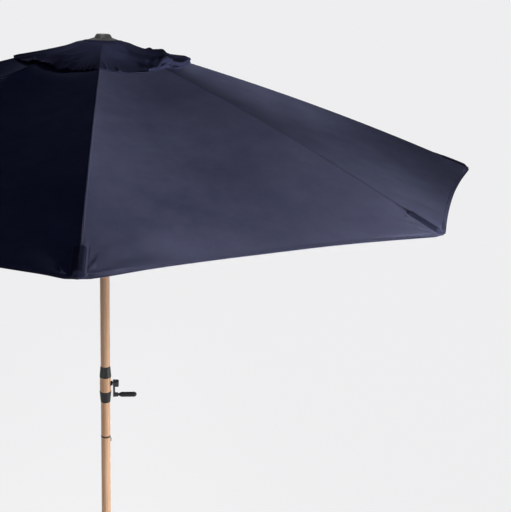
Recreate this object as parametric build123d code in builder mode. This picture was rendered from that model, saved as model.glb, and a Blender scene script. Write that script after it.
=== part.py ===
from build123d import *

import os
from math import asin, atan2, cos, degrees, hypot, radians, sin, sqrt, tan

# Crank-lift market umbrella in a round weighted base.  Millimetres, +Z up.
# The origin is at the middle of the floor face, and the crank points along +X.

# ---------------------------------------------------------------- canopy and frame
rib_count = 8
span_radius = 1450.0  # pole axis to a canopy corner, open
rim_height = 2080.0  # canopy corners above the floor
canopy_rise = 462.0  # peak above the corners
rib_bow = 28.0  # how far a sprung rib arches above its chord
rim_sag = 21.0  # how far the hem is pulled in between two corners
cloth = 1.2
seam_gap = 0.6  # between neighbouring panel halves
cloth_gap = 0.4  # between cloth and what it lies on
seam_drop = 2.3  # how far cloth falls from a seam to the edge of the rib below
vent_radius = 150.0  # the open vent under the top cap
cap_radius = 325.0  # top cap, at its corners
cap_hem_pull = 12.0
cap_hole_clearance = 1.0  # round the neck of the finial
cap_waist_radius = 150.0
cap_lifts = (8.0, 3.0, 20.0)  # cap above the seams at its hole, waist and corners

rib_width = 12.0
rib_depth = 18.0
rib_wall = 1.2
tongue_width = 8.0  # flat end of a rib or a strut
eye_radius = 7.0
pin_radius = 2.5
pin_length = 24.0
hinge_clearance = 0.06  # round a hinge pin
side_clearance = 0.3  # each side of a tongue or pin in its slot
root_length = 20.0  # hinge pin to the start of the rib tube
tip_length = 22.0
tip_inset = 45.0  # rib tip inside the canopy corner
tip_lip = 1.0
strut_reach = 600.0  # hinge pin to strut pivot, along the rib
strut_length = 640.0  # pivot to pivot
strut_depth = 14.0
cheek = 3.0  # bracket cheek plate
bracket_foot = 40.0  # bracket length along the rib
bracket_lap = 6.0  # how far the cheeks lap the sides of the rib

# ---------------------------------------------------------------- hub and runner
spider_radius = 62.0  # hub and runner flanges
hinge_radius = 48.0  # pole axis to the hinge pins
slot_start = 34.0
hub_above = 5.5  # flange above the hinge pins
hub_below = 12.0
spider_neck_radius = 26.0
hub_neck = 7.0
runner_flange = 18.0
runner_above = 25.0  # runner tube above its pin line
runner_below = 32.0
runner_clearance = 0.6
runner_pin_half = 10.0
groove_flare = 3.5

# ---------------------------------------------------------------- pole
pole_radius = 19.0
pole_wall = 2.0
joint_height = 917.5  # where the two pole halves meet
joint_ring = 3.0
joint_ring_lip = 0.8
ferrule_wall = 1.5
ferrule_length = 240.0
ferrule_clearance = 0.1
rivet_height = 29.0  # above the joint
rivet_radius = 2.4
pole_top_drop = 8.0  # pole end below the canopy peak

# ---------------------------------------------------------------- crank
crank_rise = 238.5  # shaft above the pole joint
housing_radius = 22.5
housing_below = 33.5
housing_above = 29.0
collar_length = 48.0
collar_root_radius = 23.75
collar_end_radius = 20.0
collar_lip = 3.0
boss_radius = 10.0
boss_reach = 29.0
boss_edge = 1.0
bush_radius = 7.0
shaft_radius = 5.0
shaft_clearance = 0.06
bush_inner_reach = 13.0
spool_radius = 13.0
spool_core_radius = 10.5
spool_cheek = 1.6
spool_span = (-10.0, 4.0)
brake_wire_radius = 1.05
brake_coils = 4
brake_start = 5.4
arm_reach = 31.0  # pole axis to the inner face of the arm
arm_thickness = 8.0
arm_length = 51.0  # shaft axis to grip axis
arm_width = 17.0
head_radius = 16.0
head_end = 54.5
head_edge = 5.0
foot_radius = 10.0
foot_end = 53.0
grip_pin_radius = 4.0
grip_start = 55.0
grip_end = 127.5
grip_radius = 10.5
grip_neck_radius = 6.0

# ---------------------------------------------------------------- lifting cord and top pulley
cord_radius = 1.5
pulley_drop = 64.0  # below the pole end
pulley_groove_radius = 9.75
pulley_radius = 12.5
pulley_width = 6.0
pulley_clearance = 0.5
axle_radius = 2.0
cord_line = 22.5  # outer run of the cord, from the pole axis

# ---------------------------------------------------------------- lock button in the pole joint
button_drop = 16.0  # below the joint
button_length = 20.0
button_width = 8.0
button_proud = 4.8
button_edge = 2.0
button_lip = 2.0  # of its flange, all round
button_flange = 2.0
button_seat = 14.0
leaf_width = 8.0
leaf_thickness = 0.8
leaf_length = 52.0

# ---------------------------------------------------------------- finial
finial_radius = 33.0
finial_top_radius = 27.0
finial_height = 10.4
finial_edge = 3.0
washer_radius = 53.0
washer = 1.6
finial_plug = 26.0  # moulded plug in the pole end

# ---------------------------------------------------------------- base
foot_pad_radius = 18.0
foot_pad_height = 4.0
foot_pad_inset = 40.0  # pad centre inside the plate's rim
foot_pad_count = 6
plate_radius = 252.0
plate_thickness = 6.0
cover_radius = 250.0
cover_wall = 2.0
cover_side = 28.0  # straight part of the cover's wall
cover_shoulder = 22.0
cover_crown_height = 76.0
cover_crown_radius = 70.0
weight_clearance = 0.5
sleeve_radius = 24.15
sleeve_wall = 2.65
sleeve_top = 430.0
sleeve_flange_radius = 60.0
sleeve_flange = 6.0
bush_clearance = 0.08
bush_fit = 0.1
bush_length = 90.0
foot_bush_length = 30.0
bush_lip = 6.0
bolt_inset = 14.0  # bolt centre inside the flange's rim
bolt_count = 4
bolt_radius = 4.0
bolt_head_radius = 7.0
bolt_head = 5.3
bolt_length = 46.0
bolt_clearance = 0.3
knob_height = 385.0
knob_boss_radius = 12.0
knob_boss_reach = 36.0
knob_screw_radius = 5.0
knob_screw_clearance = 0.08
knob_tip_gap = 0.3
knob_neck_radius = 9.0
knob_neck = 4.0
knob_radius = 20.0
knob_lobes = 5
knob_lobe_radius = 7.0
knob_depth = 20.0

# ---------------------------------------------------------------- worked out from the above
gore = 360 / rib_count
half_gore = gore / 2
rim_apothem = span_radius * cos(radians(half_gore))
peak_height = rim_height + canopy_rise

seam_chord = hypot(span_radius, canopy_rise)
seam_bend = (seam_chord**2 / 4 + rib_bow**2) / (2 * rib_bow)  # radius of the arched seam line
seam_centre = (
    span_radius / 2 - canopy_rise / seam_chord * (seam_bend - rib_bow),
    rim_height + canopy_rise / 2 - span_radius / seam_chord * (seam_bend - rib_bow),
)


def seam_height(radius, depth=0.0):
    """Height of a line that runs depth under the seam of a rib."""
    return seam_centre[1] + sqrt((seam_bend - depth) ** 2 - (radius - seam_centre[0]) ** 2)


def seam_point(radius, depth=0.0):
    return (radius, seam_height(radius, depth))


rib_top = cloth + seam_drop + cloth_gap
rib_middle = rib_top + rib_depth / 2
rib_bottom = rib_top + rib_depth
hinge = seam_point(hinge_radius, rib_middle)
tip_radius = span_radius - tip_inset
tip = seam_point(tip_radius, rib_middle)
rib_slope = atan2(hinge[1] - tip[1], tip[0] - hinge[0])  # below the level, open
pivot = (hinge[0] + strut_reach * cos(rib_slope), hinge[1] - strut_reach * sin(rib_slope))
runner_height = pivot[1] - sqrt(strut_length**2 - (pivot[0] - hinge_radius) ** 2)
strut_slope = atan2(pivot[1] - runner_height, pivot[0] - hinge_radius)

pole_bore = pole_radius - pole_wall
pole_end = peak_height - pole_top_drop
pulley_height = pole_end - pulley_drop
crank_height = joint_height + crank_rise
housing_bottom = crank_height - housing_below
housing_top = crank_height + housing_above
plate_top = foot_pad_height + plate_thickness
foot_pad_reach = plate_radius - foot_pad_inset
bolt_reach = sleeve_flange_radius - bolt_inset
sleeve_floor = cover_crown_height + sleeve_flange
sleeve_bore = sleeve_radius - sleeve_wall
rib_angles = [gore * number for number in range(rib_count)]


def radial_plane(angle, shift=0.0):
    """Upright plane through the pole axis: its x runs outwards and its y up."""
    turn = radians(angle)
    outwards = Vector(cos(turn), sin(turn), 0)
    sideways = Vector(-sin(turn), cos(turn), 0)
    return Plane(origin=sideways * shift, x_dir=outwards, z_dir=sideways * -1)


def finish(builder, name):
    builder.part.label = name
    export_step(builder.part, f"parts/{name}.step")


def place_around(pattern, angle, name):
    """One copy of a piece modelled at +X, turned about the pole."""
    with BuildPart() as copy:
        add(pattern.part.rotate(Axis.Z, angle))
    finish(copy, name)


# ================================================================= base
with BuildPart() as base_feet:
    with BuildSketch():
        with PolarLocations(foot_pad_reach, foot_pad_count):
            Circle(foot_pad_radius)
    extrude(amount=foot_pad_height)
    chamfer(base_feet.faces().sort_by(Axis.Z)[:foot_pad_count].edges(), foot_pad_height / 4)
finish(base_feet, "base_feet")

with BuildPart() as base_plate:
    with BuildSketch(Plane.XY.offset(foot_pad_height)):
        Circle(plate_radius)
    extrude(amount=plate_thickness)
    chamfer(base_plate.edges().filter_by(GeomType.CIRCLE), plate_thickness / 4)
finish(base_plate, "base_plate")


def cover_profile(inset, floor):
    """Half outline of the domed base, inset all round, standing on floor."""
    side = cover_radius - inset
    shoulder_top = plate_top + cover_side + cover_shoulder
    crown = cover_crown_height - inset
    with BuildLine() as outline:
        Polyline((0, crown), (0, floor), (side, floor), (side, plate_top + cover_side))
        shoulder = TangentArc(
            (side, plate_top + cover_side),
            (side - cover_shoulder, shoulder_top - inset),
            tangent=(0, 1),
        )
        Line(shoulder @ 1, (cover_crown_radius, crown))
        Line((cover_crown_radius, crown), (0, crown))
    make_face(outline.edges())


with BuildPart() as base_cover:
    with BuildSketch(Plane.XZ):
        cover_profile(0, plate_top)
    revolve(axis=Axis.Z)
    with BuildSketch(Plane.XZ):
        cover_profile(cover_wall, plate_top)
    revolve(axis=Axis.Z, mode=Mode.SUBTRACT)
    with BuildSketch(Plane.XY.offset(cover_crown_height - cover_wall)):
        with PolarLocations(bolt_reach, bolt_count, start_angle=45):
            Circle(bolt_radius + bolt_clearance)
    extrude(amount=cover_wall, mode=Mode.SUBTRACT)
finish(base_cover, "base_cover")

with BuildPart() as base_weight:
    with BuildSketch(Plane.XZ):
        cover_profile(cover_wall + weight_clearance, plate_top)
    revolve(axis=Axis.Z)
    with BuildSketch(Plane.XY.offset(sleeve_floor)):
        with PolarLocations(bolt_reach, bolt_count, start_angle=45):
            Circle(bolt_radius + bolt_clearance)
    extrude(amount=-bolt_length - bolt_clearance, mode=Mode.SUBTRACT)
finish(base_weight, "base_weight")

with BuildPart() as sleeve_tube:
    with BuildSketch(Plane.XY.offset(cover_crown_height)):
        Circle(sleeve_flange_radius)
        with PolarLocations(bolt_reach, bolt_count, start_angle=45):
            Circle(bolt_radius + bolt_clearance, mode=Mode.SUBTRACT)
    extrude(amount=sleeve_flange)
    with BuildSketch(Plane.XY.offset(sleeve_floor)):
        Circle(sleeve_radius)
    extrude(amount=sleeve_top - sleeve_floor)
    weld = sleeve_tube.edges().filter_by(GeomType.CIRCLE).filter_by_position(
        Axis.Z, sleeve_floor, sleeve_floor
    )
    fillet(weld.sort_by(SortBy.LENGTH)[bolt_count], sleeve_flange)
    with BuildSketch(Plane.YZ):
        with Locations((0, knob_height)):
            Circle(knob_boss_radius)
    extrude(amount=knob_boss_reach)
    with BuildSketch(Plane.XY.offset(sleeve_floor)):
        Circle(sleeve_bore)
    extrude(amount=sleeve_top - sleeve_floor, mode=Mode.SUBTRACT)
    with BuildSketch(Plane.YZ):
        with Locations((0, knob_height)):
            Circle(knob_screw_radius + knob_screw_clearance)
    extrude(amount=knob_boss_reach, mode=Mode.SUBTRACT)
finish(sleeve_tube, "sleeve_tube")

with BuildPart() as sleeve_bolts:
    with BuildSketch(Plane.XY.offset(sleeve_floor)):
        with PolarLocations(bolt_reach, bolt_count, start_angle=45):
            Circle(bolt_radius)
    extrude(amount=-bolt_length)
    with BuildSketch(Plane.XY.offset(sleeve_floor)):
        with PolarLocations(bolt_reach, bolt_count, start_angle=45):
            RegularPolygon(bolt_head_radius, 6)
    extrude(amount=bolt_head)
    chamfer(
        sleeve_bolts.faces().sort_by(Axis.Z)[-bolt_count:].edges(), bolt_head / 6
    )
finish(sleeve_bolts, "sleeve_bolts")

with BuildPart() as sleeve_bush:
    with BuildSketch(Plane.XY.offset(sleeve_top - bush_length)):
        Circle(sleeve_bore - bush_fit)
    extrude(amount=bush_length)
    with BuildSketch(Plane.XY.offset(sleeve_top)):
        Circle(sleeve_radius)
    extrude(amount=bush_lip)
    chamfer(sleeve_bush.edges().sort_by(Axis.Z)[-1], bush_lip / 4)
    with BuildSketch(Plane.XY.offset(sleeve_floor)):
        Circle(sleeve_bore - bush_fit)
    extrude(amount=foot_bush_length)
    with BuildSketch(Plane.XY.offset(sleeve_floor)):
        Circle(pole_radius + bush_clearance)
    extrude(amount=sleeve_top + bush_lip - sleeve_floor, mode=Mode.SUBTRACT)
    with BuildSketch(Plane.YZ):
        with Locations((0, knob_height)):
            Circle(knob_screw_radius + knob_screw_clearance)
    extrude(amount=sleeve_radius, mode=Mode.SUBTRACT)
finish(sleeve_bush, "sleeve_bush")

with BuildPart() as clamp_knob:
    with BuildSketch(Plane.YZ.offset(pole_radius + knob_tip_gap)):
        with Locations((0, knob_height)):
            Circle(knob_screw_radius)
    extrude(amount=knob_boss_reach - pole_radius)
    with BuildSketch(Plane.YZ.offset(knob_boss_reach + knob_tip_gap)):
        with Locations((0, knob_height)):
            Circle(knob_neck_radius)
    extrude(amount=knob_neck)
    with BuildSketch(Plane.YZ.offset(knob_boss_reach + knob_tip_gap + knob_neck)):
        with Locations((0, knob_height)):
            Circle(knob_radius)
            with PolarLocations(knob_radius, knob_lobes):
                Circle(knob_lobe_radius)
    extrude(amount=knob_depth)
    fillet(clamp_knob.faces().sort_by(Axis.X)[-1].edges(), knob_depth / 6)
finish(clamp_knob, "clamp_knob")

# ================================================================= pole
pole_lower_top = joint_height - joint_ring / 2
pole_upper_bottom = joint_height + joint_ring / 2
button_height = joint_height - button_drop


def button_slot(margin):
    """Upright rounded slot that is margin larger than the button all round."""
    SlotOverall(button_length + 2 * margin, button_width + 2 * margin, rotation=90)


with BuildPart() as pole_lower:
    with BuildSketch(Plane.XY.offset(sleeve_floor)):
        Circle(pole_radius)
        Circle(pole_bore, mode=Mode.SUBTRACT)
    extrude(amount=pole_lower_top - sleeve_floor)
    with BuildSketch(Plane.YZ):
        with Locations((0, button_height)):
            button_slot(side_clearance)
    extrude(amount=pole_radius, mode=Mode.SUBTRACT)
finish(pole_lower, "pole_lower")

pulley_centre = cord_line - pulley_groove_radius - cord_radius
with BuildPart() as pole_upper:
    with BuildSketch(Plane.XY.offset(pole_upper_bottom)):
        Circle(pole_radius)
        Circle(pole_bore, mode=Mode.SUBTRACT)
    extrude(amount=pole_end - pole_upper_bottom)
    # bearing holes for the crank shaft
    with BuildSketch(Plane.YZ):
        with Locations((0, crank_height)):
            Circle(bush_radius)
    extrude(amount=pole_radius, both=True, mode=Mode.SUBTRACT)
    # rivet hole for the ferrule
    with BuildSketch(Plane.YZ):
        with Locations((0, joint_height + rivet_height)):
            Circle(rivet_radius)
    extrude(amount=pole_radius, mode=Mode.SUBTRACT)
    # window and axle holes for the top pulley
    with BuildSketch(Plane.YZ):
        with Locations((pulley_centre, pulley_height)):
            Circle(axle_radius + shaft_clearance)
    extrude(amount=pole_radius, both=True, mode=Mode.SUBTRACT)
    with BuildSketch(Plane.XZ.offset(-pole_radius)):
        with Locations((0, pulley_height)):
            Rectangle(pulley_width + 4 * pulley_clearance, 2 * pulley_radius + pulley_width)
    extrude(amount=pole_radius, mode=Mode.SUBTRACT)
finish(pole_upper, "pole_upper")

ferrule_radius = pole_bore - ferrule_clearance
with BuildPart() as pole_ferrule:
    with BuildSketch(Plane.XY.offset(joint_height - ferrule_length / 2)):
        Circle(ferrule_radius)
    extrude(amount=ferrule_length)
    chamfer(pole_ferrule.edges().filter_by(GeomType.CIRCLE), ferrule_wall / 2)
    with BuildSketch(Plane.XY.offset(pole_lower_top)):
        Circle(pole_radius + joint_ring_lip)
    extrude(amount=joint_ring)
    with BuildSketch(Plane.YZ):
        with Locations((0, joint_height + rivet_height)):
            Circle(rivet_radius)
    extrude(amount=pole_radius + joint_ring_lip / 2)
    with BuildSketch(Plane.XY.offset(joint_height - ferrule_length / 2)):
        Circle(ferrule_radius - ferrule_wall)
    extrude(amount=ferrule_length, mode=Mode.SUBTRACT)
    with BuildSketch(Plane.YZ):
        with Locations((0, button_height)):
            button_slot(side_clearance)
    extrude(amount=pole_radius, mode=Mode.SUBTRACT)
finish(pole_ferrule, "pole_ferrule")

with BuildPart() as lock_button:
    with BuildSketch(Plane.YZ.offset(button_seat - button_flange)):
        with Locations((0, button_height)):
            button_slot(button_lip)
    extrude(amount=button_flange)
    with BuildSketch(Plane.YZ.offset(button_seat)):
        with Locations((0, button_height)):
            button_slot(0)
    extrude(amount=pole_radius + button_proud - button_seat)
    fillet(lock_button.faces().sort_by(Axis.X)[-1].edges(), button_edge)
finish(lock_button, "lock_button")

leaf_wall = (
    sqrt((ferrule_radius - ferrule_wall) ** 2 - (leaf_width / 2) ** 2)
    - leaf_thickness / 2
    - ferrule_clearance
)
with BuildPart() as button_spring:
    leaf_front = button_seat - button_flange - side_clearance - leaf_thickness / 2
    with BuildLine(Plane.XZ) as leaf:
        FilletPolyline(
            (leaf_front, button_height + button_length / 2),
            (leaf_front, button_height - button_length / 2),
            (-leaf_wall, button_height - leaf_length),
            (-leaf_wall, button_height),
            radius=leaf_width / 2,
        )
    with BuildSketch(Plane(leaf.line @ 0, x_dir=(0, 1, 0), z_dir=leaf.line % 0)):
        Rectangle(leaf_width, leaf_thickness)
    sweep(path=leaf.line)
finish(button_spring, "button_spring")

# ================================================================= crank gear
with BuildPart() as crank_housing:
    with BuildSketch(Plane.XY.offset(housing_bottom)):
        Circle(housing_radius)
        Circle(pole_radius, mode=Mode.SUBTRACT)
    extrude(amount=housing_top - housing_bottom)
    with BuildSketch(Plane.YZ):
        with Locations((0, crank_height)):
            Circle(bush_radius)
    extrude(amount=housing_radius, both=True, mode=Mode.SUBTRACT)
finish(crank_housing, "crank_housing")


def collar_profile(root, direction):
    """Half outline of a tapered collar; root is its wide end's height."""
    end = root + direction * collar_length
    with BuildLine() as outline:
        Polyline(
            (pole_radius, root),
            (collar_root_radius - collar_lip / 4, root),
            (collar_root_radius, root + direction * collar_lip / 2),
            (collar_root_radius, root + direction * collar_lip),
            (collar_end_radius, end - direction * collar_lip / 2),
            (collar_end_radius - collar_lip / 6, end),
            (pole_radius, end),
            close=True,
        )
    make_face(outline.edges())


with BuildPart() as collar_upper:
    with BuildSketch(Plane.XZ):
        collar_profile(housing_top, 1)
    revolve(axis=Axis.Z)
finish(collar_upper, "collar_upper")

with BuildPart() as collar_lower:
    with BuildSketch(Plane.XZ):
        collar_profile(housing_bottom, -1)
    revolve(axis=Axis.Z)
finish(collar_lower, "collar_lower")

with BuildPart() as shaft_bushes:
    # boss of the front bush, which stands on the housing
    with BuildSketch(Plane.YZ):
        with Locations((0, crank_height)):
            Circle(boss_radius)
    extrude(amount=boss_reach)
    fillet(shaft_bushes.faces().sort_by(Axis.X)[-1].edges(), boss_edge)
    with BuildSketch(Plane.XY.offset(crank_height - boss_radius)):
        Circle(housing_radius)
    extrude(amount=2 * boss_radius, mode=Mode.SUBTRACT)
    for start, end in ((bush_inner_reach, boss_reach), (-housing_radius, -bush_inner_reach)):
        with BuildSketch(Plane.YZ.offset(start)):
            with Locations((0, crank_height)):
                Circle(bush_radius)
        extrude(amount=end - start)
    with BuildSketch(Plane.YZ):
        with Locations((0, crank_height)):
            Circle(shaft_radius + shaft_clearance)
    extrude(amount=boss_reach, both=True, mode=Mode.SUBTRACT)
finish(shaft_bushes, "shaft_bushes")

with BuildPart() as crank_shaft:
    with BuildSketch(Plane.YZ.offset(-housing_radius + spool_cheek)):
        with Locations((0, crank_height)):
            Circle(shaft_radius)
    extrude(amount=arm_reach + housing_radius - spool_cheek)
    for start, end, radius in (
        (spool_span[0], spool_span[1], spool_core_radius),
        (spool_span[0], spool_span[0] + spool_cheek, spool_radius),
        (spool_span[1] - spool_cheek, spool_span[1], spool_radius),
    ):
        with BuildSketch(Plane.YZ.offset(start)):
            with Locations((0, crank_height)):
                Circle(radius)
        extrude(amount=end - start)
finish(crank_shaft, "crank_shaft")

with BuildPart() as brake_spring:
    coil_radius = shaft_radius + side_clearance + brake_wire_radius
    with BuildSketch(Plane.XZ):
        for coil in range(brake_coils):
            along = brake_start + 2 * (brake_wire_radius - shaft_clearance) * coil
            with Locations((along, crank_height + coil_radius)):
                Circle(brake_wire_radius)
    revolve(axis=Axis((0, 0, crank_height), (1, 0, 0)))
finish(brake_spring, "brake_spring")

grip_height = crank_height - arm_length
with BuildPart() as crank_arm:
    with BuildSketch(Plane.YZ.offset(arm_reach)):
        with BuildLine():
            Polyline(
                (-arm_width / 2, crank_height),
                (-foot_radius, grip_height),
                (foot_radius, grip_height),
                (arm_width / 2, crank_height),
                close=True,
            )
        make_face()
        with Locations((0, crank_height)):
            Circle(head_radius)
        with Locations((0, grip_height)):
            Circle(foot_radius)
    extrude(amount=arm_thickness)
    with BuildSketch(Plane.YZ.offset(arm_reach + arm_thickness)):
        with Locations((0, crank_height)):
            Circle(head_radius)
    extrude(amount=head_end - arm_reach - arm_thickness)
    fillet(crank_arm.faces().sort_by(Axis.X)[-1].edges(), head_edge)
    with BuildSketch(Plane.YZ.offset(arm_reach + arm_thickness)):
        with Locations((0, grip_height)):
            Circle(foot_radius)
    extrude(amount=foot_end - arm_reach - arm_thickness, taper=6)
    with BuildSketch(Plane.YZ.offset(foot_end)):
        with Locations((0, grip_height)):
            Circle(grip_pin_radius)
    extrude(amount=grip_end - grip_radius - foot_end)
finish(crank_arm, "crank_arm")

with BuildPart() as crank_grip:
    with BuildSketch(Plane.XZ):
        with BuildLine():
            Line((grip_start, grip_height), (grip_start, grip_height + grip_neck_radius))
            Line(
                (grip_start, grip_height + grip_neck_radius),
                (grip_start + grip_radius, grip_height + grip_radius),
            )
            Line(
                (grip_start + grip_radius, grip_height + grip_radius),
                (grip_end - grip_radius, grip_height + grip_radius),
            )
            TangentArc(
                (grip_end - grip_radius, grip_height + grip_radius),
                (grip_end, grip_height),
                tangent=(1, 0),
            )
            Line((grip_end, grip_height), (grip_start, grip_height))
        make_face()
    revolve(axis=Axis((0, 0, grip_height), (1, 0, 0)))
    with BuildSketch(Plane.YZ.offset(grip_start)):
        with Locations((0, grip_height)):
            Circle(grip_pin_radius + shaft_clearance)
    extrude(amount=grip_end - grip_radius + side_clearance - grip_start, mode=Mode.SUBTRACT)
finish(crank_grip, "crank_grip")

# ================================================================= hub, runner, pulley and cord
slot_width = tongue_width + 2 * side_clearance


def cut_slots(bottom, height):
    """Radial slots for the tongues, open at the flange's rim."""
    slot_length = 2 * (spider_radius - slot_start)
    with BuildSketch(Plane.XY.offset(bottom)) as slots:
        with PolarLocations(slot_start + slot_length / 2, rib_count):
            Rectangle(slot_length, slot_width)
    extrude(slots.sketch, amount=height, mode=Mode.SUBTRACT)


hub_bottom = hinge[1] - hub_below
with BuildPart() as hub:
    with BuildSketch(Plane.XZ):
        with BuildLine():
            Polyline(
                (pole_radius, hub_bottom - hub_neck),
                (spider_neck_radius, hub_bottom - hub_neck),
                (spider_neck_radius, hub_bottom),
                (spider_radius, hub_bottom),
                (spider_radius, hinge[1]),
                (spider_radius - hub_above, hinge[1] + hub_above),
                (pole_radius, hinge[1] + hub_above),
                close=True,
            )
        make_face()
    revolve(axis=Axis.Z)
    cut_slots(hub_bottom, hub_below + hub_above)
    for angle in rib_angles:
        with BuildSketch(radial_plane(angle)):
            with Locations(hinge):
                Circle(pin_radius)
        extrude(amount=pin_length / 2, both=True, mode=Mode.SUBTRACT)
finish(hub, "hub")

with BuildPart() as hub_pins:
    for angle in rib_angles:
        with BuildSketch(radial_plane(angle)):
            with Locations(hinge):
                Circle(pin_radius)
        extrude(amount=pin_length / 2, both=True)
finish(hub_pins, "hub_pins")

runner_bore = pole_radius + runner_clearance
with BuildPart() as runner:
    with BuildSketch(Plane.XZ):
        with BuildLine():
            Polyline(
                (runner_bore, runner_height - runner_below),
                (spider_neck_radius, runner_height - runner_below),
                (spider_neck_radius, runner_height - runner_flange / 2),
                (spider_radius, runner_height - runner_flange / 2),
                (spider_radius, runner_height + runner_flange / 4),
                (spider_radius - runner_flange / 4, runner_height + runner_flange / 2),
                (spider_neck_radius, runner_height + runner_flange / 2),
                (spider_neck_radius, runner_height + runner_above),
                (runner_bore, runner_height + runner_above),
                close=True,
            )
        make_face()
    revolve(axis=Axis.Z)
    cut_slots(runner_height - runner_flange / 2, runner_flange)
    # ring groove that the strut pins rise into, open below
    groove = pin_radius + side_clearance
    groove_outside = hypot(hinge_radius + groove, runner_pin_half)
    with BuildSketch(Plane.XZ):
        with BuildLine():
            Polyline(
                (hinge_radius - groove, runner_height - runner_flange / 2),
                (hinge_radius - groove, runner_height + groove),
                (groove_outside, runner_height + groove),
                (groove_outside, runner_height),
                (groove_outside + groove_flare, runner_height - runner_flange / 2),
                close=True,
            )
        make_face()
    revolve(axis=Axis.Z, mode=Mode.SUBTRACT)
finish(runner, "runner")

with BuildPart() as top_pulley:
    pulley_axis = Axis((0, pulley_centre, pulley_height), (1, 0, 0))
    with BuildSketch(Plane.XY.offset(pulley_height)):
        with BuildLine():
            Polyline(
                (-pulley_width / 2, pulley_centre),
                (-pulley_width / 2, pulley_centre + pulley_radius),
                (-cord_radius, pulley_centre + pulley_radius - side_clearance),
                (-cord_radius, pulley_centre + pulley_groove_radius - side_clearance),
                (cord_radius, pulley_centre + pulley_groove_radius - side_clearance),
                (cord_radius, pulley_centre + pulley_radius - side_clearance),
                (pulley_width / 2, pulley_centre + pulley_radius),
                (pulley_width / 2, pulley_centre),
                close=True,
            )
        make_face()
    revolve(axis=pulley_axis)
    with BuildSketch(Plane.YZ):
        with Locations((pulley_centre, pulley_height)):
            Circle(axle_radius)
    extrude(amount=sqrt(pole_radius**2 - pulley_centre**2), both=True)
finish(top_pulley, "top_pulley")

with BuildPart() as lift_cord:
    wrap = pulley_groove_radius + cord_radius
    spool_line = -(spool_core_radius + side_clearance + cord_radius)
    rise = pulley_height - crank_height
    lean = atan2(pulley_centre - spool_line, rise) - asin(
        wrap / hypot(pulley_centre - spool_line, rise)
    )
    with BuildLine(Plane.YZ) as cord_path:
        inner_top = (pulley_centre - wrap * cos(lean), pulley_height + wrap * sin(lean))
        cord_rise = Line((spool_line, crank_height), inner_top)
        over = JernArc(inner_top, cord_rise % 1, wrap, degrees(lean) - 180)
        Line(over @ 1, (cord_line, runner_height + runner_above + side_clearance))
    with BuildSketch(Plane(cord_path.line @ 0, z_dir=cord_path.line % 0)):
        Circle(cord_radius)
    sweep(path=cord_path.line)
finish(lift_cord, "lift_cord")

# ================================================================= ribs and struts
tube_start = hinge_radius + root_length * cos(rib_slope)
tube_end = tip_radius - tip_length * cos(rib_slope)


def rib_band(start, end, top, bottom, width, mode=Mode.ADD):
    """A bar that follows the arch of the rib between two radii and two depths."""
    middle = (start + end) / 2
    with BuildSketch(Plane.XZ) as side_view:
        with BuildLine():
            ThreePointArc(seam_point(start, top), seam_point(middle, top), seam_point(end, top))
            Line(seam_point(end, top), seam_point(end, bottom))
            ThreePointArc(
                seam_point(end, bottom), seam_point(middle, bottom), seam_point(start, bottom)
            )
            Line(seam_point(start, bottom), seam_point(start, top))
        make_face()
    extrude(side_view.sketch, amount=width / 2, both=True, mode=mode)


cheek_inside = rib_width / 2 - rib_wall
with BuildPart() as rib_pattern:
    rib_band(tube_start, tube_end, rib_top, rib_bottom, rib_width)
    rib_band(
        tube_start + rib_wall,
        tube_end,
        rib_top + rib_wall,
        rib_bottom - rib_wall,
        rib_width - 2 * rib_wall,
        Mode.SUBTRACT,
    )
    # moulded tip
    rib_band(tube_end, tip_radius, rib_top, rib_bottom + tip_lip, rib_width + 2 * tip_lip)
    fillet(rib_pattern.faces().sort_by(Axis.X)[-1].edges().filter_by(Axis.Y), rib_depth / 4)
    # flat tongue that turns on the hub pin
    with BuildSketch(Plane.XZ):
        with BuildLine():
            CenterArc(hinge, eye_radius, 0, 360)
            Line(
                seam_point(tube_start, rib_top + rib_wall),
                seam_point(tube_start, rib_bottom - rib_wall),
            )
        make_hull()
    extrude(amount=tongue_width / 2, both=True)
    with BuildSketch(Plane.XZ):
        with Locations(hinge):
            Circle(pin_radius + hinge_clearance)
    extrude(amount=tongue_width, both=True, mode=Mode.SUBTRACT)
    # two cheek plates and the pin that carry the strut
    for side in (-1, 1):
        with BuildSketch(Plane.XZ.offset(side * (cheek_inside + cheek / 2))):
            foot = bracket_foot / 2
            with BuildLine():
                Polyline(
                    seam_point(pivot[0] - foot, rib_bottom - bracket_lap),
                    seam_point(pivot[0] + foot, rib_bottom - bracket_lap),
                    seam_point(pivot[0] + foot, rib_bottom),
                    (pivot[0] + eye_radius, pivot[1]),
                    (pivot[0] - eye_radius, pivot[1]),
                    seam_point(pivot[0] - foot, rib_bottom),
                    close=True,
                )
            make_face()
            with Locations(pivot):
                Circle(eye_radius)
        extrude(amount=cheek / 2, both=True)
    with BuildSketch(Plane.XZ):
        with Locations(pivot):
            Circle(pin_radius)
    extrude(amount=cheek_inside + cheek, both=True)

with BuildPart() as strut_pattern:
    middle = ((pivot[0] + hinge_radius) / 2, (pivot[1] + runner_height) / 2)
    with BuildSketch(Plane.XZ):
        with Locations(middle):
            SlotCenterToCenter(strut_length, strut_depth, rotation=degrees(strut_slope))
    extrude(amount=tongue_width / 2, both=True)
    with BuildSketch(Plane.XZ):
        with Locations(pivot):
            Circle(pin_radius + hinge_clearance)
    extrude(amount=tongue_width, both=True, mode=Mode.SUBTRACT)
    with BuildSketch(Plane.XZ):
        with Locations((hinge_radius, runner_height)):
            Circle(pin_radius)
    extrude(amount=runner_pin_half, both=True)

for number, angle in enumerate(rib_angles, 1):
    place_around(rib_pattern, angle, f"rib_{number}")
    place_around(strut_pattern, angle, f"strut_{number}")


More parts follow.
